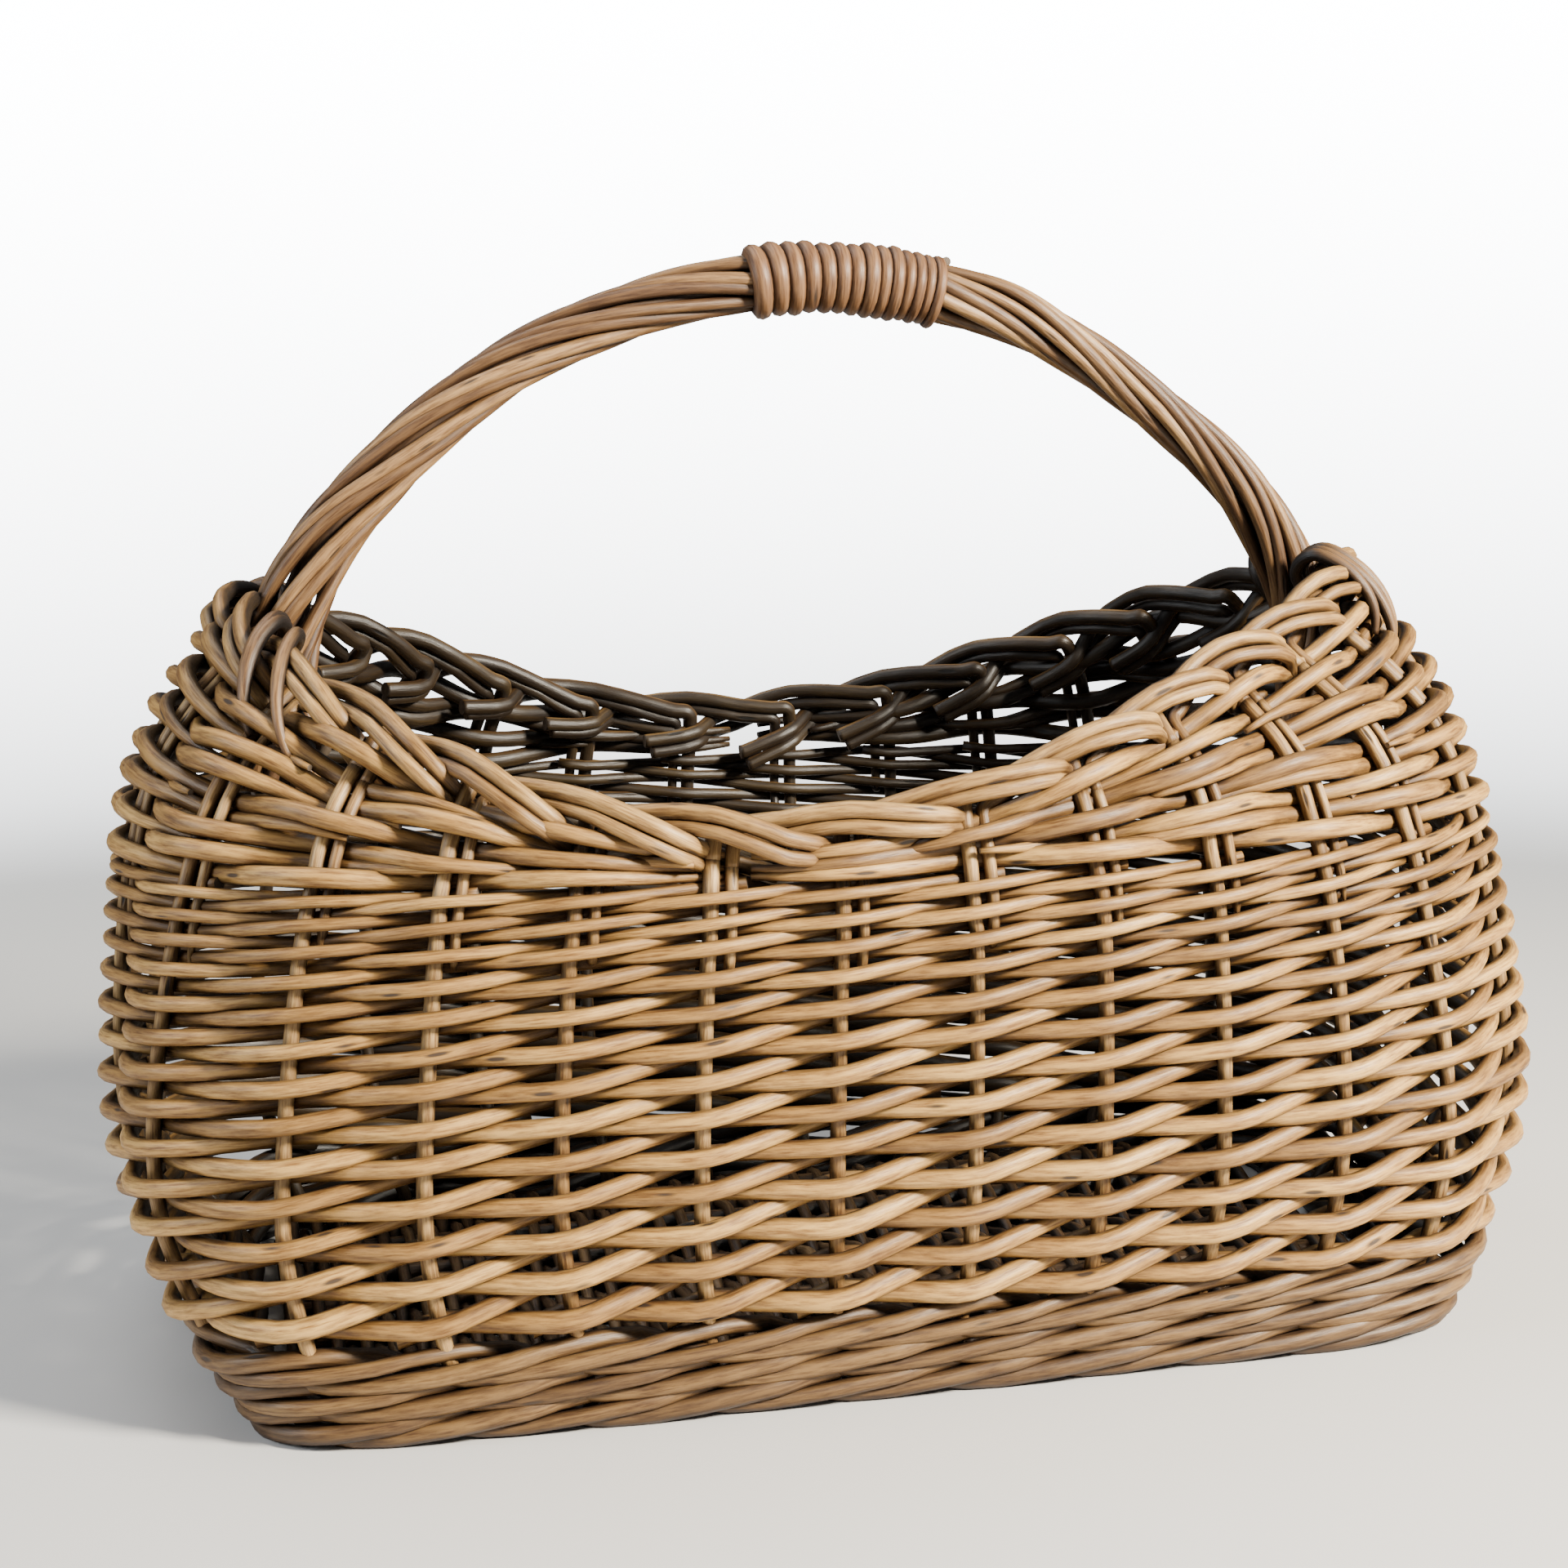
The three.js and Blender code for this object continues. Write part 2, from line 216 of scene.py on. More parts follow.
def lay_rods(name, rods, corners=3, paints_inner_shade=True):
    """One object of swept willow rods. Each rod is a path and a radius in millimetres
    and a tone from 0, pale, to 1, dark. The length along each rod and the way round it
    are kept as a map, so that grain and bud scars follow the rod. Where the flag for it
    is set, the side of a rod that faces the inside of the basket is marked for painted
    shade, to be darker."""
    sides = 4 + 2 * corners
    curve = bpy.data.curves.new(name + "_paths", "CURVE")
    curve.dimensions = "3D"
    curve.bevel_depth = 1.0
    curve.bevel_resolution = corners
    curve.use_fill_caps = True
    curve.twist_mode = "MINIMUM"
    for path, radius, tone in rods:
        line = curve.splines.new("POLY")
        line.points.add(len(path) - 1)
        line.points.foreach_set("co", np.c_[path * mm, np.ones(len(path))].ravel())
        line.points.foreach_set("radius", np.broadcast_to(radius, len(path)) * mm)
        line.use_smooth = True
    shaper = bpy.data.objects.new(name + "_paths", curve)
    mesh = bpy.data.meshes.new_from_object(shaper)
    mesh.name = name
    bpy.data.objects.remove(shaper)

    # Faces come as end caps, last rod first, then the sides of each rod in turn. Both
    # caps of a rod are made of triangles.
    cap_faces = 2 * (sides - 2)
    owner = [np.repeat(np.arange(len(rods))[::-1], cap_faces)]
    for number, (path, radius, tone) in enumerate(rods):
        owner.append(np.full((len(path) - 1) * sides, number))
    owner = np.concatenate(owner)
    caps = len(rods) * cap_faces
    totals = np.zeros(len(mesh.polygons), int)
    mesh.polygons.foreach_get("loop_total", totals)
    corner_owner = np.repeat(owner, totals)
    corner_cap = np.repeat(np.arange(len(owner)) < caps, totals)
    first_map = mesh.uv_layers[0]
    first_map.name = "rod_map"
    place = np.zeros(len(mesh.loops) * 2)
    first_map.uv.foreach_get("vector", place)
    place = place.reshape(-1, 2)
    for number, (path, radius, tone) in enumerate(rods):
        mine = np.nonzero((corner_owner == number) & ~corner_cap)[0]
        run = np.concatenate([[0], np.cumsum(np.linalg.norm(np.diff(path, axis=0), axis=1))])
        # Every rod starts at a place of its own in the grain, in metres.
        start = 7.3 * number + 50 * tone
        knot = place[mine, 0] * (len(path) - 1)
        place[mine, 0] = start + np.interp(knot, np.arange(len(path)), run) * mm
    first_map.uv.foreach_set("vector", place.ravel())

    def keep(title, where, values):
        kept = mesh.attributes.new(title, "FLOAT", where)
        kept.data.foreach_set("value", values.astype(np.float32))

    keep("tone", "FACE", np.array([tone for path, radius, tone in rods])[owner])
    cut = np.arange(len(owner)) < caps
    keep("cut", "FACE", cut)
    mesh.polygons.foreach_set("use_smooth", ~cut)

    shape = bmesh.new()
    shape.from_mesh(mesh)
    bmesh.ops.remove_doubles(shape, verts=shape.verts, dist=1e-6)
    shape.to_mesh(mesh)
    shape.free()

    # How far each point faces the inside of the basket, where painted shade darkens the willow.
    body_reach = [0.21, 0.11]
    spots, facing = np.zeros(len(mesh.vertices) * 3), np.zeros(len(mesh.vertices) * 3)
    mesh.vertices.foreach_get("co", spots)
    mesh.vertices.foreach_get("normal", facing)
    spots, facing = spots.reshape(-1, 3), facing.reshape(-1, 3)
    outward = np.stack([spots[:, side] * abs(spots[:, side]) / body_reach[side] ** 3
                        for side in (0, 1)], axis=1)
    outward /= np.maximum(np.linalg.norm(outward, axis=1), 1e-6)[:, None]
    turned = (outward * facing[:, :2]).sum(axis=1)
    keep("inner_shade", "POINT", np.clip(0.45 - 1.1 * turned, 0, 1) if paints_inner_shade else 0 * turned)
    piece = bpy.data.objects.new(name, mesh)
    bpy.context.scene.collection.objects.link(piece)
    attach(piece, "root")
    return piece


def willow(name, ramp):
    """Buff willow, from its palest rod to its darkest: a colour for each rod, streaks
    along it, small dark bud scars, painted shade on the side towards the inside of the
    basket, painted shade where the rods press together and a raw grey-brown end where
    each was cut."""
    material = bpy.data.materials.new(name)
    material.use_nodes = True
    tree = material.node_tree
    nodes, links = tree.nodes, tree.links
    skin = nodes["Principled BSDF"]

    def node(kind, **settings):
        made = nodes.new(kind)
        for key, value in settings.items():
            setattr(made, key, value)
        return made

    def sums(operation, first, second=None):
        made = node("ShaderNodeMath", operation=operation)
        for socket, value in zip(made.inputs, (first, second)):
            if value is None:
                continue
            if isinstance(value, (int, float)):
                socket.default_value = value
            else:
                links.new(value, socket)
        return made.outputs[0]

    def mixed(amount, under, over, blend="MULTIPLY"):
        made = node("ShaderNodeMix", data_type="RGBA", blend_type=blend)
        for socket, value in (("Factor", amount), ("A", under), ("B", over)):
            if isinstance(value, bpy.types.NodeSocket):
                links.new(value, made.inputs[socket])
            else:
                made.inputs[socket].default_value = value
        return made.outputs["Result"]

    rod_map = node("ShaderNodeUVMap", uv_map="rod_map")
    split = node("ShaderNodeSeparateXYZ")
    links.new(rod_map.outputs[0], split.inputs[0])
    length, way = split.outputs[0], sums("MULTIPLY", split.outputs[1], 2 * math.pi)
    across, deep = sums("COSINE", way), sums("SINE", way)
    tone, cut, inner_shade = [node("ShaderNodeAttribute", attribute_name=title).outputs["Fac"]
                        for title in ("tone", "cut", "inner_shade")]

    def on_rod(along, around):
        """A place in a pattern that follows the rod, this fine along it and round it."""
        made = node("ShaderNodeCombineXYZ")
        for socket, value, fineness in zip(
                made.inputs, (length, across, deep), (along, around, around)):
            links.new(sums("MULTIPLY", value, fineness), socket)
        return made.outputs[0]

    # Colour of the rod, shifted slowly along its length.
    slow = node("ShaderNodeTexNoise")
    slow.inputs["Scale"].default_value = 1.0
    slow.inputs["Detail"].default_value = 3.0
    links.new(on_rod(22.0, 0.35), slow.inputs["Vector"])
    shade = sums("ADD", tone, sums("MULTIPLY", sums("SUBTRACT", slow.outputs["Fac"], 0.5), 1.15))
    colours = node("ShaderNodeValToRGB")
    band = colours.color_ramp
    band.elements[0].position, band.elements[0].color = 0.0, (*ramp[0], 1)
    band.elements[1].position, band.elements[1].color = 1.0, (*ramp[-1], 1)
    for i, colour in enumerate(ramp[1:-1]):
        stop = band.elements.new((i + 1) / (len(ramp) - 1))
        stop.color = (*colour, 1)
    links.new(shade, colours.inputs[0])

    # Fine streaks of grain that run along the rod.
    grain = node("ShaderNodeTexNoise")
    grain.inputs["Scale"].default_value = 1.0
    grain.inputs["Detail"].default_value = 4.0
    grain.inputs["Roughness"].default_value = 0.65
    links.new(on_rod(105.0, 2.8), grain.inputs["Vector"])
    tint = node("ShaderNodeValToRGB")
    tint.color_ramp.elements[0].position = 0.32
    tint.color_ramp.elements[0].color = (0.36, 0.28, 0.21, 1)
    tint.color_ramp.elements[1].position = 0.60
    tint.color_ramp.elements[1].color = (1.0, 1.0, 1.0, 1)
    links.new(grain.outputs["Fac"], tint.inputs[0])
    colour = mixed(1.0, colours.outputs[0], tint.outputs[0])

    # Bud scars: small dark marks, one or two to a hand's breadth of rod.
    cells = node("ShaderNodeTexVoronoi")
    cells.inputs["Scale"].default_value = 1.0
    links.new(on_rod(62.0, 0.8), cells.inputs["Vector"])
    few = node("ShaderNodeSeparateColor")
    links.new(cells.outputs["Color"], few.inputs[0])
    near = node("ShaderNodeMapRange")
    near.inputs["From Min"].default_value = 0.25
    near.inputs["From Max"].default_value = 0.13
    links.new(cells.outputs["Distance"], near.inputs["Value"])
    scar = sums("MULTIPLY", near.outputs[0], sums("GREATER_THAN", few.outputs[0], 0.80))
    colour = mixed(sums("MULTIPLY", scar, 0.95), colour, (0.045, 0.028, 0.018, 1), "MIX")

    # Painted shade: the side that faces the inside is darker.
    colour = mixed(inner_shade, colour, (0.055, 0.056, 0.060, 1))

    # Painted shade: the colour is darkened where the rods press together, by ambient occlusion.
    crevice_shade = node("ShaderNodeAmbientOcclusion", samples=6)
    crevice_shade.inputs["Distance"].default_value = 0.009
    unshaded_share = sums("POWER", crevice_shade.outputs["AO"], 1.5)
    colour = mixed(sums("SUBTRACT", 1.0, unshaded_share), colour, (0.20, 0.15, 0.12, 1))

    # Raw cut ends.
    colour = mixed(cut, colour, (0.121, 0.088, 0.0605, 1), "MIX")
    links.new(colour, skin.inputs["Base Color"])

    # The dark streaks are rougher than the skin between them and lie a little lower.
    gloss = node("ShaderNodeMapRange")
    gloss.inputs["To Min"].default_value = 0.58
    gloss.inputs["To Max"].default_value = 0.38
    links.new(grain.outputs["Fac"], gloss.inputs["Value"])
    links.new(gloss.outputs[0], skin.inputs["Roughness"])
    relief = node("ShaderNodeBump")
    relief.inputs["Strength"].default_value = 0.5
    relief.inputs["Distance"].default_value = 0.0004
    links.new(sums("SUBTRACT", grain.outputs["Fac"], sums("MULTIPLY", scar, 0.8)),
              relief.inputs["Height"])
    links.new(relief.outputs[0], skin.inputs["Normal"])
    skin.inputs["Specular IOR Level"].default_value = 0.45
    return material


base_willow = willow("base_willow", [(0.36, 0.22, 0.10), (0.26, 0.15, 0.07), (0.17, 0.10, 0.05)])

# Small differences from rod to rod come from one seeded source.
chance = np.random.default_rng(20)

base_thick = 10.0
stick_places = np.linspace(-78, 78, 7)
edge_radius, stick_radius, weaver_radius = 4.0, 3.0, 2.0
edge_reach, stick_reach = 150.0, 164.0
weaver_places = np.arange(-166, 167, 4.1)
weaver_reach, weave_half_length, weave_squareness, weaver_lift = 0.972 * 88, 171.5, 9, 2.9

sticks = []
for number, y in enumerate(stick_places):
    edge = number in (0, len(stick_places) - 1)
    reach = edge_reach if edge else stick_reach
    x = np.linspace(-reach, reach, 24)
    path = np.c_[x, y + 0.5 * np.sin(x / 37 + number), np.full(24, base_thick / 2)]
    sticks.append((path, edge_radius if edge else stick_radius, chance.uniform(0.3, 0.9)))
base_sticks = lay_rods("base_sticks", sticks)
base_sticks.data.materials.append(base_willow)
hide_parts(*["base_stick_%d" % (i + 1) for i in range(len(stick_places))])

weavers = []
for number, x in enumerate(weaver_places):
    share = 1 - abs(x / weave_half_length) ** weave_squareness
    reach = weaver_reach * share ** (1 / weave_squareness)
    y = np.linspace(-reach, reach, 40)
    step = (y - stick_places[0]) / (stick_places[1] - stick_places[0])
    side = 1 if number % 2 else -1
    lift = side * np.cos(math.pi * step) * weaver_lift
    path = np.c_[x + 0.3 * np.sin(y / 11 + number), y, base_thick / 2 + lift]
    weavers.append((path, weaver_radius, chance.uniform(0, 1)))
base_weave = lay_rods("base_weave_rods", weavers, corners=2)
base_weave.data.materials.append(base_willow)
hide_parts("base_weave")


# ------------------------------------------------------------------ stakes and border
# Twenty-eight upright stakes rise from the base through the whole wall. At the rim each
# stake and the thinner bye-stake beside it are kinked over together, run along the top
# to the next pair, pass outside it and down, and end on the inside with a cut butt.

# Height of the rim from the middle of a long side to the middle of an end, at even
# steps, and how far the lowest place at the front is moved to the left.
rim_height = [172, 177.5, 191.5, 206, 216.5, 226]
front_shift = 0.033

# Shares of the way round at which the stakes stand: ten along each long side, from
# corner to corner, and four round each end.
corner_share = 0.1523
side_share = np.linspace(-corner_share, corner_share, 10)
end_share = np.linspace(corner_share, 0.5 - corner_share, 6)[1:-1]
stake_share = np.concatenate([side_share, end_share, side_share + 0.5, end_share + 0.5])
stake_count = len(stake_share)


def bay_share(bay):
    """Share of the way round at a bay number: whole numbers are stakes."""
    bay = np.asarray(bay, float)
    knots = np.append(stake_share, stake_share[0] + 1)
    whole = np.floor(bay / stake_count)
    return np.interp(bay - whole * stake_count, np.arange(stake_count + 1), knots) + whole


def rim(share):
    """Height of the rim. At the front it is lowest a little to the left of the middle."""
    place = np.asarray(share, float)
    place = place - np.round(place)
    place = place + front_shift * np.clip(1 - (np.abs(place) / 0.25) ** 4, 0, 1)
    quarter = np.abs(place * 4)
    return smoothly(rim_height, np.minimum(quarter, 2 - quarter) * (len(rim_height) - 1))


def through(points, each=5, kinked=0.0):
    """Path through rows of numbers, smooth or partly kinked at each of them."""
    points = np.asarray(points, float)
    place = np.linspace(0, len(points) - 1, (len(points) - 1) * each + 1)
    straight = np.stack([np.interp(place, np.arange(len(points)), column) for column in points.T],
                        axis=1)
    smooth = np.stack([smoothly(column, place) for column in points.T], axis=1)
    return kinked * straight + (1 - kinked) * smooth


# Steps of the border: bays along, drop below the rim, distance out from the wall's middle.
stake_turn = [(0.0, 34, 0.0), (0.0, 22, -0.8), (0.00, 12, -2.4), (0.02, 4.0, -3.3),
              (0.07, 2.3, -3.4), (0.20, 2.2, -3.0), (0.45, 1.2, -1.2), (0.75, 0.6, 1.6),
              (1.00, 1.4, 4.6), (1.25, 3.4, 6.3), (1.55, 6.4, 6.4), (1.77, 8.8, 3.4),
              (1.88, 9.8, -1.4), (1.99, 10.9, -5.8), (2.13, 12.2, -7.7), (2.30, 13.8, -8.3),
              (2.52, 15.9, -8.6)]
bye_turn = [(0.15, 34, 0.0), (0.15, 23, -0.8), (0.15, 14, -2.4), (0.16, 7.6, -3.3),
            (0.21, 6.2, -3.4), (0.36, 5.9, -2.6), (0.62, 5.2, -0.6), (0.86, 5.3, 2.2),
            (1.06, 6.5, 4.8), (1.28, 8.7, 6.1), (1.53, 11.3, 6.2), (1.74, 13.3, 3.3),
            (1.86, 14.4, -1.2), (1.97, 15.7, -5.6), (2.10, 17.2, -7.6), (2.25, 18.8, -8.2),
            (2.44, 20.8, -8.5)]


def along_rim(number, steps, shift):
    """One rod of the border, lying flatter where the rim is steep."""
    bays = number + steps[:, 0] + shift * np.clip(steps[:, 0], 0, 1)
    slope = rim(bay_share(bays + 0.5)) - rim(bay_share(bays - 0.5))
    steep = np.where(slope > 0, 0.48, 0.30) * np.clip(np.abs(slope) / 12, 0, 1)
    flat = 1 - steep * np.interp(steps[:, 0], [0.25, 0.6], [0, 1])
    height = rim(bay_share(bays)) - steps[:, 1] * flat - chance.uniform(-0.5, 0.5)
    return np.c_[bays, height, steps[:, 2]]


# Each rod is one path, cut in two where it leaves the wall: the part in the wall belongs
# to the stakes and the part that is turned down belongs to the border. The first few
# points of the turn still stand upright.
stake_foot, stake_low_points = 3.0, 14
bye_aside, bye_low_points = 0.15, 8
bend_kink, points_before_bend = 0.6, 10

stems, bends = [], []


def add_upright(low, top, radius_at, radii, darkest):
    """One rod of the wall and rim, with its radius given at some of its points."""
    steps = np.concatenate([low, top])
    path = on_wall(bay_share(steps[:, 0]), steps[:, 1], steps[:, 2])
    radius = np.interp(np.arange(len(path)), [*radius_at, len(path) - 1], radii)
    radius, tone = radius * chance.uniform(0.94, 1.06), chance.uniform(0.0, darkest)
    cut = len(low) + points_before_bend
    stems.append((path[:cut + 1], radius[:cut + 1], tone))
    bends.append((path[cut:], radius[cut:], tone))


for number in range(stake_count):
    head = float(rim(stake_share[number]))
    lean = chance.uniform(-0.03, 0.03)
    low = [(number + lean * math.sin(3.1 * z / head), z,
            0.35 * math.sin(z / 17 + number) - 2.2 * min(max((27 - z) / 14, 0), 1))
           for z in np.linspace(stake_foot, head - 40, stake_low_points)]
    shift = chance.uniform(-0.04, 0.04)
    top = along_rim(number, through(stake_turn, kinked=bend_kink), shift)
    add_upright(low, top, [0, 14, 40], [2.3, 2.2, 2.55, 2.4], 0.55)

    top = along_rim(number, through(bye_turn, kinked=bend_kink), shift)
    reach = np.linspace(chance.uniform(126, 141), top[0, 1] - 5, bye_low_points)
    low = np.c_[np.full(bye_low_points, number + bye_aside), reach,
                np.linspace(-1.5, 0, bye_low_points)]
    add_upright(low, top, [0, 1.5, 8, 30], [0.5, 1.5, 1.65, 2.15, 2.1], 0.7)

stake_willow = willow("stake_willow", [
    (0.72, 0.470, 0.190), (0.60, 0.370, 0.138), (0.46, 0.265, 0.092), (0.32, 0.175, 0.060)])
stake_rods = lay_rods("stake_rods", stems)
stake_rods.data.materials.append(stake_willow)
sides = [("front", 10), ("right", 4), ("back", 10), ("left", 4)]
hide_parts(*["stake_%s_%d" % (side, i + 1)
                          for side, many in sides for i in range(many)])

border_willow = willow("border_willow", [
    (0.50, 0.300, 0.102), (0.39, 0.222, 0.070), (0.28, 0.150, 0.046), (0.18, 0.094, 0.032)])
border_rods = lay_rods("border_rods", bends)
border_rods.data.materials.append(border_willow)
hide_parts("border")


# ------------------------------------------------------------------ upsett
# Three rows of three-rod wale hold the foot of the stakes. Each rod runs in front of two
# stakes, rising as it goes, and then drops back behind one. Its tips are thin.

wale_heights, wale_radii = [6.2, 14.6, 23.0], [2.95, 2.85, 2.75]
wale_rods, wale_rise, wale_out = 3, 3.6, 4.9

# The wale starts this many bays round, at the back, where its tips show least. Rods that
# go round the wall have eight points to a bay.
wale_start, bay_step = 15, 1 / 8

wales = []
for row, height in enumerate(wale_heights):
    for rod in range(wale_rods):
        bays = np.arange(-0.4, stake_count + 1.2, bay_step) + wale_start + rod + row
        beat = np.mod(bays - rod - row, 3.0)
        out = np.interp(beat, [0, 0.5, 1.05, 1.9, 2.5, 3.0], [0.2, -1.0, 0.55, 1.0, 0.95, 0.2])
        climb = np.interp(beat, [0, 0.15, 0.9, 1.4, 2.1, 2.75, 3.0],
                          [1.0, 0.9, -0.9, -0.85, 0.1, 1.0, 1.0])
        wobble = 0.45 * np.sin(bays * 0.9 + 2 * rod + row)
        path = on_wall(bay_share(bays), height + wale_rise * climb + wobble, wale_out * out - 0.2)
        tips = np.minimum(bays - bays[0], bays[-1] - bays)
        radius = wale_radii[row] * (0.92 + 0.12 * np.sin(bays * 0.31 + 2.1 * rod + row))
        radius = radius * np.interp(tips, [0, 1.6], [0.3, 1.0])
        wales.append((path, radius, chance.uniform(0.2, 0.95)))
# Painted shade: the upsett rods get a darker copy of the willow colours, for the shade at the
# foot of the wall.
upsett_shaded_willow = willow("upsett_shaded_willow", [
    (0.26, 0.150, 0.052), (0.19, 0.105, 0.036), (0.125, 0.067, 0.024)])
upsett = lay_rods("upsett_rods", wales)
upsett.data.materials.append(upsett_shaded_willow)
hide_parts("upsett_wale")


# ------------------------------------------------------------------ siding
# French randing: one rod starts at each of the twenty-eight stakes and goes in front of
# one stake and behind the next, climbing half a row in every bay. The rods are thick at
# the foot of the wall and thin towards the top, where the rows draw closer together.

# At each row: the height at which it crosses in front of a stake, how far it kinks up
# where it passes behind the next one, and the radius of its rods.
row_height = [25, 36.6, 48.2, 59.6, 70.8, 81.6, 92.2, 102.4,
              112.2, 121.6, 130.4, 138.4, 145.4, 151.6, 157.0]
row_kink = [2.6, 2.6, 2.4, 2.1, 1.8, 1.5, 1.2, 0.9, 0.55, 0.25, 0.0, -0.2, -0.4, -0.5, -0.6]
row_radius = [3.2, 3.1, 2.98, 2.9, 2.82, 2.74, 2.66, 2.56,
              2.43, 2.28, 2.12, 1.98, 1.88, 1.8, 1.75]
lowest_row, highest_row, rounds = -0.25, 13.6, 14

# Rows climbed in each bay. Along most of the front the rows climb a little less, so
# they sink slightly towards the right.
bay_climb = np.full(stake_count, 0.524)
bay_climb[:2] = 0.5
bay_climb[2:9] = 0.435
climbed = np.concatenate([[0], np.cumsum(bay_climb)])
climbed = (climbed - climbed[2]) * rounds / climbed[-1]


def rows_up(bay):
    """Rows that a rod has climbed by a bay number, counted from the third stake."""
    bay = np.asarray(bay, float)
    turns = np.floor(bay / stake_count)
    along = np.interp(bay - turns * stake_count, np.arange(stake_count + 1), climbed)
    return along + rounds * turns


points_per_bay = round(1 / bay_step)
tip_past_stake = 0.35

# The longest rod, in bays. A line starts with the tip before its first stake, so its first
# join is moved on by three points to lie behind a stake as the others do.
longest_rod, points_to_stake = 22, 3
line = np.arange(-30, 90, bay_step)
siding = []
for number in range(2 * rounds):
    odd = number % 2
    row = rows_up(line) - number // 2 + odd / 2
    inside = np.nonzero((row > lowest_row) & (row < highest_row))[0]
    first = math.ceil((line[inside[0]] - 1 - odd) / 2) * 2 + 1 + odd - tip_past_stake
    last = math.floor((line[inside[-1]] - 1 - odd) / 2) * 2 + 1 + odd + tip_past_stake
    bays = np.arange(first, last, bay_step)
    row = rows_up(bays) - number // 2 + odd / 2
    steps = np.arange(len(row_height))
    beat = np.mod(bays - odd, 2.0)
    rise = np.interp(beat, [0, 0.1, 1, 1.9, 2], [0, 0.05, 1, 0.05, 0])
    depth = np.interp(beat, [0, 0.12, 0.9, 1.0, 1.1, 1.88, 2],
                      [1, 0.94, -0.78, -1, -0.86, 0.94, 1])
    radius = np.interp(row, steps, row_radius)
    radius = radius * (1 + 0.05 * np.sin(bays * 0.37 + 3 * chance.random()))
    radius = radius * chance.uniform(0.95, 1.05)
    height = np.interp(row, steps, row_height) + np.interp(row, steps, row_kink) * rise
    drift = 0.4 * np.sin(bays * 0.83 + 6 * chance.random())
    drift = drift + 0.3 * np.sin(bays * 2.3 + 6 * chance.random())
    out = depth * (2.0 + radius) + 0.25 * np.sin(bays * 1.7 + number)
    path = on_wall(bay_share(bays), height + drift, out)

    # Each long line is several rods, joined behind a stake where one runs out.
    joins = [0]
    while joins[-1] + longest_rod * points_per_bay < len(path):
        joins.append(joins[-1] + 2 * points_per_bay * int(chance.integers(6, 10))
                     + (points_to_stake if len(joins) == 1 else 0))
    joins.append(len(path) - 1)
    for begin, end in zip(joins[:-1], joins[1:]):
        siding.append((path[begin:end + 1], radius[begin:end + 1] * chance.uniform(0.97, 1.03),
                       chance.uniform(0.1, 0.62)))
buff_willow = willow("buff_willow", [
    (0.66, 0.400, 0.125), (0.47, 0.262, 0.074), (0.31, 0.166, 0.047), (0.18, 0.094, 0.031)])
siding_rods = lay_rods("siding_rods", siding)
siding_rods.data.materials.append(buff_willow)
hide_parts("siding_round_1", "siding_round_2", "siding_round_3")


# ------------------------------------------------------------------ packing
# At each end a wedge of thicker rods fills the space between the level siding and the
# rising rim. They fan out closely: wherever there is room for one more rod its thin tip
# is laid in between two others, so the wedge stays full up to the shoulder.

packing_low, border_drop, packing_pitch = 155.0, 7.8, 4.8
packing_thinnest, packing_thickest = 1.5, 3.0
grown_over = 2.4 * packing_pitch
laying_order = [12, 0, 6, 9, 3, 11, 1, 7, 4, 10, 2, 8, 5]

for name, begin, end in (("packing_right", 3.3, 18.4), ("packing_left", 18.6, 31.2)):
    bays = np.arange(begin, end, bay_step)
    space = np.maximum(rim(bay_share(bays)) - border_drop - packing_low, 2.0)
    grown = np.zeros((len(laying_order), len(bays)))
    for turn_to_lay, rod in enumerate(laying_order):
        needs = min((turn_to_lay - 0.35) * packing_pitch, space.max() - 2.5 * packing_pitch)
        uneven = 0.1 * math.sin(rod * 2.3)
        grown[rod] = np.clip((space - needs) / grown_over + uneven, 0, 1)
    pitch = space / np.maximum(grown.sum(axis=0), 1.0)
    middle_height = packing_low + (np.cumsum(grown, axis=0) - grown / 2) * pitch
    bundle = []
    for rod in range(len(laying_order)):
        there = np.nonzero(grown[rod] > 0.05)[0]
        there = np.arange(max(there[0] - 3, 0), min(there[-1] + 4, len(bays)))
        along, height = bays[there], middle_height[rod, there]
        near_end = np.minimum(along - along[0], along[-1] - along)
        radius = np.clip(0.56 * pitch[there], packing_thinnest, packing_thickest)
        radius = radius * np.interp(near_end, [0, 0.5, 1.7], [0.3, 0.62, 1.0])
        out = np.cos(math.pi * (along + rod)) * (2.1 + radius)
        drift = 0.35 * np.sin(along * 1.1 + 5 * chance.random())
        path = on_wall(bay_share(along), height + drift, out)
        bundle.append((path, radius * chance.uniform(0.95, 1.06), chance.uniform(0.15, 0.75)))
    packing = lay_rods(name + "_rods", bundle)
    packing.data.materials.append(buff_willow)
    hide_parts(name)


# ------------------------------------------------------------------ handle
# A stout bow rod is pushed down inside each end, and ten rods are laid round it side by
# side and roped round it with a slow twist. Their ends are led down at the shoulders.

bow_top, bow_shoulder, bow_foot = 314.5, 192.0, 168.0
bow_half_span, bow_fullness = 162.0, 1.83
bow_radius, bow_tone = 4.6, 0.9
strand_count, strand_radius, strand_ring, strand_turns = 10, 2.12, 6.7, 2.4

turn = np.linspace(0, math.pi, 2001)
bow_x = -bow_half_span * np.sign(np.cos(turn)) * np.abs(np.cos(turn)) ** (2 / bow_fullness)
bow_z = bow_shoulder + (bow_top - bow_shoulder) * np.abs(np.sin(turn)) ** (2 / bow_fullness)
bow_x = np.concatenate([[-bow_half_span], bow_x, [bow_half_span]])
bow_z = np.concatenate([[bow_foot], bow_z, [bow_foot]])
bow_run = np.concatenate([[0], np.cumsum(np.hypot(np.diff(bow_x), np.diff(bow_z)))])
bow_length = bow_run[-1]

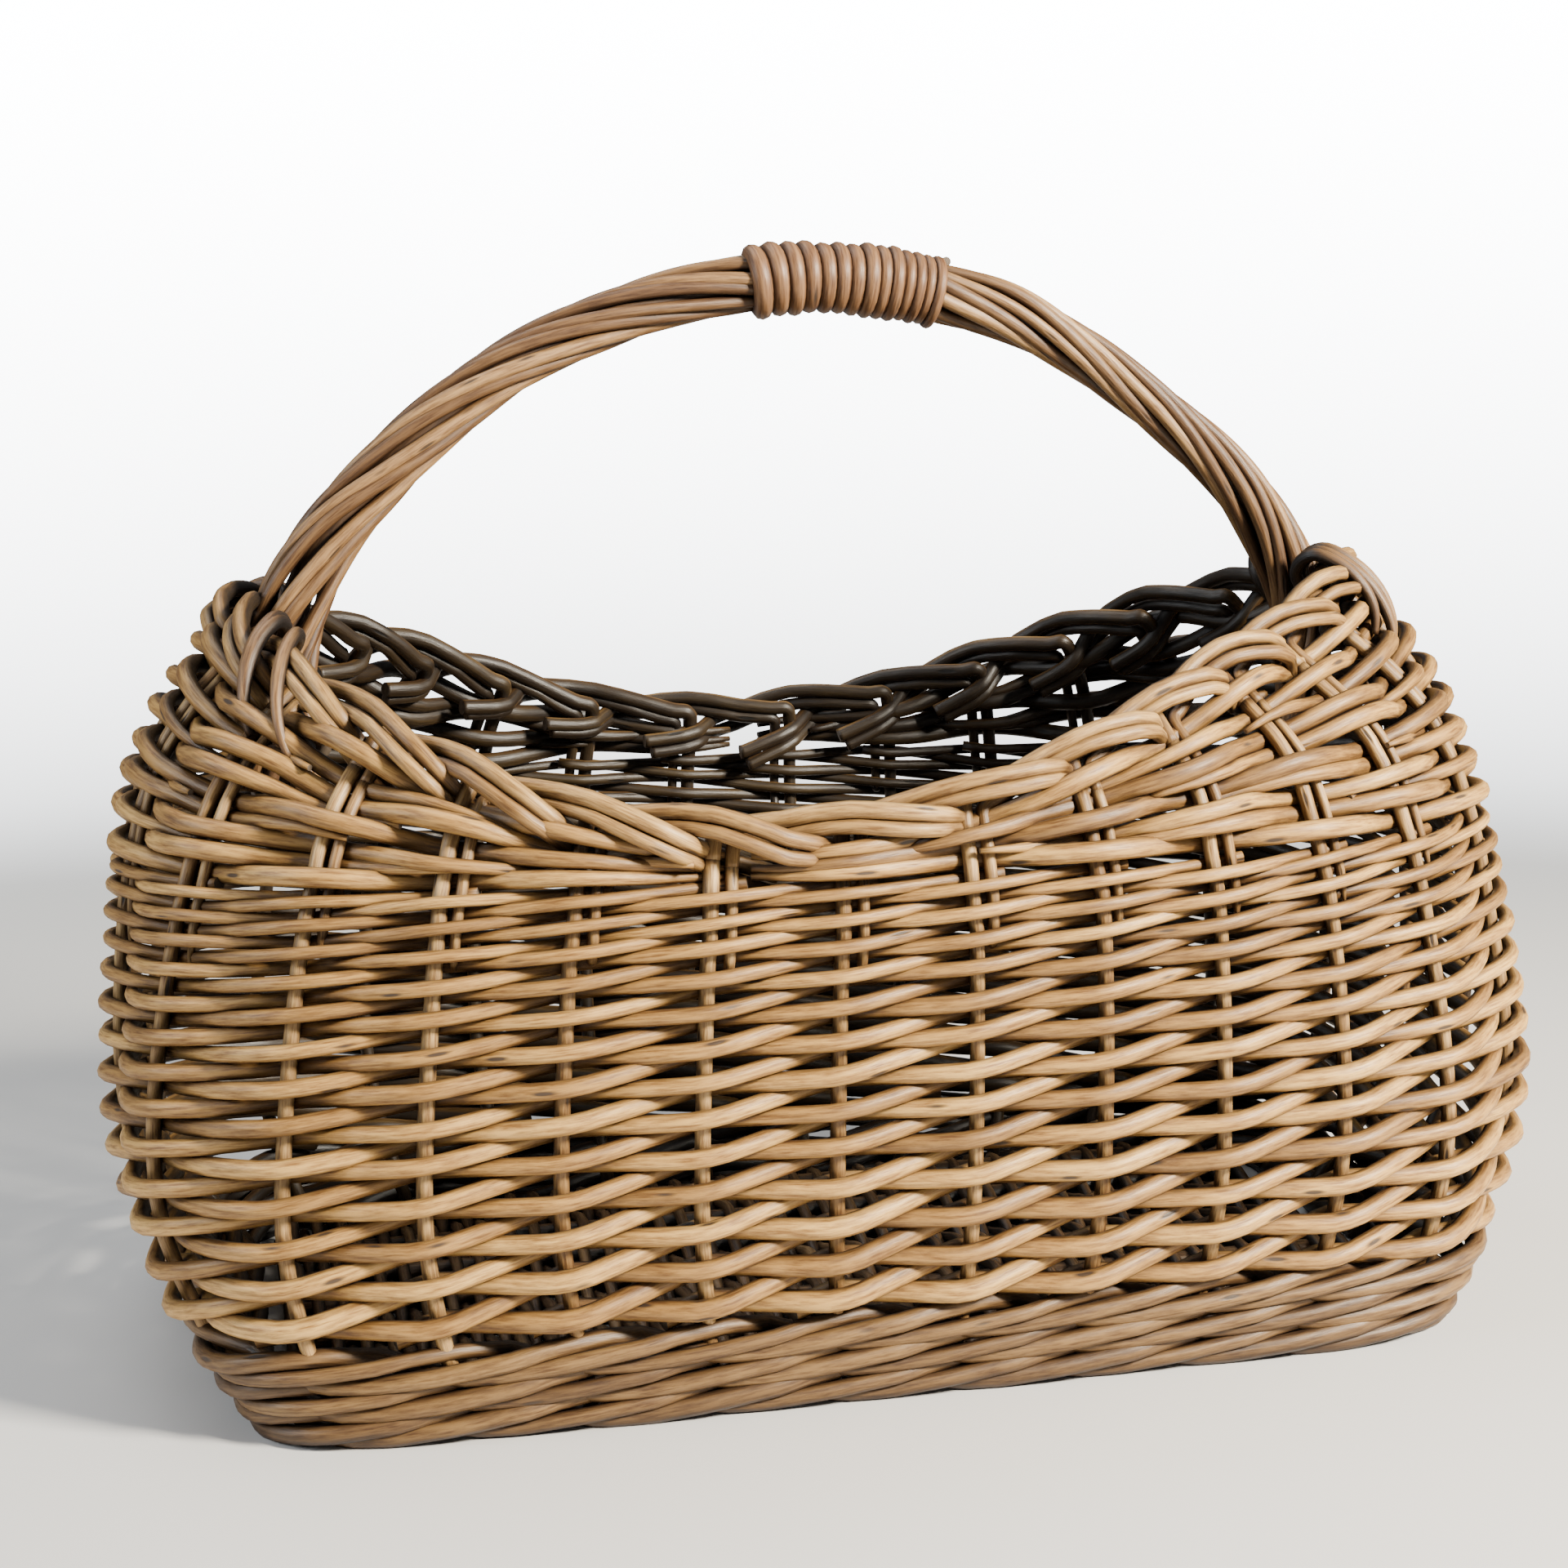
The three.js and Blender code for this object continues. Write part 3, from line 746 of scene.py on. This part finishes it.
# The bow is a little uneven, and the roping is slack in some places and tight in others:
# distances along the bow, and at each of them the lift of the bow and the width of the
# ring of rods as a share of its usual width.
uneven_at = [0, 60, 80, 105, 150, 200, 250, 290, 310, 335, 355, 380, 410, 440, 490]
bow_lift = [0, 0.5, 0.4, -0.8, 0.5, 0.2, 0.4, 0.8, 1.4, -0.2, -1.5, -1.2, 0.2, 0.6, 0]
rope_swell = [1.5, 1.28, 1.14, 1.03, 0.94, 0.95, 1.0, 1.02, 1.0, 0.88, 0.84, 0.90, 1.0, 1.08, 1.0]


def along_bow(values, run):
    """Value at a length along the bow, from a row of them given at the uneven places."""
    return smoothly(values, np.interp(run, uneven_at, np.arange(len(uneven_at))))


def by_bow(run, distance, angle):
    """Points beside the bow: length along it, distance from its middle, and angle round
    it from the outer side towards the back."""
    x, z = np.interp(run, bow_run, bow_x), np.interp(run, bow_run, bow_z)
    ahead_x, ahead_z = np.interp(run + 2, bow_run, bow_x), np.interp(run + 2, bow_run, bow_z)
    behind_x, behind_z = np.interp(run - 2, bow_run, bow_x), np.interp(run - 2, bow_run, bow_z)
    tx, tz = ahead_x - behind_x, ahead_z - behind_z
    size = np.hypot(tx, tz)
    out = distance * np.cos(angle) + along_bow(bow_lift, run)
    return np.stack([x - tz / size * out, distance * np.sin(angle) + 0 * x, z + tx / size * out],
                    axis=1)


run = np.linspace(0, bow_length, 90)
core = lay_rods("handle_bow_rod", [(by_bow(run, 0.0, 0.0), bow_radius, bow_tone)], paints_inner_shade=False)
core.data.materials.append(base_willow)
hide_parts("handle_bow")

run = np.linspace(1.0, bow_length - 1.0, 170)
strands = []
for number in range(strand_count):
    sway = 0.13 * np.sin(run / 27 + 2.4 * number)
    angle = 2 * math.pi * (number / strand_count - strand_turns * run / bow_length) + sway
    ring = strand_ring * along_bow(rope_swell, run) + 0.3 * np.sin(run / 23 + 1.7 * number)
    radius = strand_radius * (1 + 0.07 * np.sin(run / 60 + 2 * number))
    radius = radius * chance.uniform(0.93, 1.07)
    strands.append((by_bow(run, ring, angle), radius, chance.uniform(0.0, 0.95)))
handle_willow = willow("handle_willow", [
    (0.40, 0.236, 0.098), (0.30, 0.167, 0.066), (0.205, 0.110, 0.043), (0.13, 0.066, 0.028)])
handle_rods = lay_rods("handle_rods", strands, paints_inner_shade=False)
handle_rods.data.materials.append(handle_willow)
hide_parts(*[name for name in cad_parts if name.startswith("handle_strand_")])


# ------------------------------------------------------------------ grip
# One cane is wound round the handle fourteen times, a little to the right of the middle.
# It starts broad on the left and is thin by the last turns on the right.

grip_length, grip_shift, grip_turns, grip_outer, grip_tone = 62.0, 11.8, 14, 11.0, 0.35
points_per_turn = 20
coil = np.linspace(0, grip_turns, grip_turns * points_per_turn + 1)
width = np.interp(coil, [0, 4, 9, grip_turns], [6.0, 5.3, 4.2, 3.0])
width = width * (1 + 0.05 * np.sin(coil * 2.1))
# The cane lies nearly square to the handle at the front and moves along at the back.
step_back = 1 - 0.7 * np.sin(2 * math.pi * (coil[1:] + coil[:-1]) / 2)
travel = np.cumsum((width[1:] + width[:-1]) / 2 / points_per_turn * step_back)
travel = np.concatenate([[0], travel])
travel = travel / travel[-1] * (grip_length - width[0] / 2 - width[-1] / 2) + width[0] / 2
radius = width / 2 * 1.03
spot = bow_length / 2 + grip_shift - grip_length / 2 + travel
bulge = 0.35 * np.sin(coil * 0.9 + 0.5) + 0.25 * np.sin(coil * 2.9)
path = by_bow(spot, grip_outer + bulge - radius, -2 * math.pi * coil)
grip = lay_rods("grip_cane", [(path, radius, grip_tone)], paints_inner_shade=False)
grip_willow = willow("grip_willow", [
    (0.28, 0.148, 0.066), (0.215, 0.108, 0.048), (0.155, 0.074, 0.034)])
grip.data.materials.append(grip_willow)
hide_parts("grip_wrap")


# ------------------------------------------------------------------ hooks
# Beside each foot of the handle its rods are led over the border and down the outside,
# lying close together, and their ends are tucked back into the packing.

# Steps over the border: distance out from the wall's middle and height over the rim.
hook_step = [(-8.6, -20), (-8.8, -9), (-8.2, -1.5), (-5, 2.6), (0.5, 3.6), (5.6, 1.8),
             (8.0, -4), (7.6, -10.5), (5.0, -16.5), (0.5, -21)]
rim_round = 820.0

# For each end: its share of the way round, how many millimetres before or past it the
# hooks stand, and how far those before it and those past it lean, as a share.
hook_ends = [(0.25, (-24, -19.2, -14.4, 16, 20.8, 25.6), (-0.016, 0.014)),
             (0.75, (-26, -21.2, -16.4, 11, 15.6, 20.2), (-0.014, 0.050))]

steps = through(hook_step, 4)
hooks = []
for middle, places, leans in hook_ends:
    for place in places:
        lean = leans[0 if place < 0 else 1] * chance.uniform(0.7, 1.25)
        shares = middle + place / rim_round + np.linspace(0, lean, len(steps))
        drop = steps[:, 1] * np.where(steps[:, 1] < 0, chance.uniform(0.75, 1.1), 1.0)
        taper = np.interp(np.arange(len(steps)), [0, 26, len(steps) - 1], [1, 1, 0.55])
        radius = chance.uniform(1.95, 2.3) * taper
        height = rim(shares) + drop + chance.uniform(-0.6, 0.6)
        hooks.append((on_wall(shares, height, steps[:, 0]), radius, chance.uniform(0.1, 0.8)))
handle_hooks = lay_rods("handle_hooks", hooks)
handle_hooks.data.materials.append(handle_willow)
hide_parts(*[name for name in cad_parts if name.startswith("handle_hook_")])
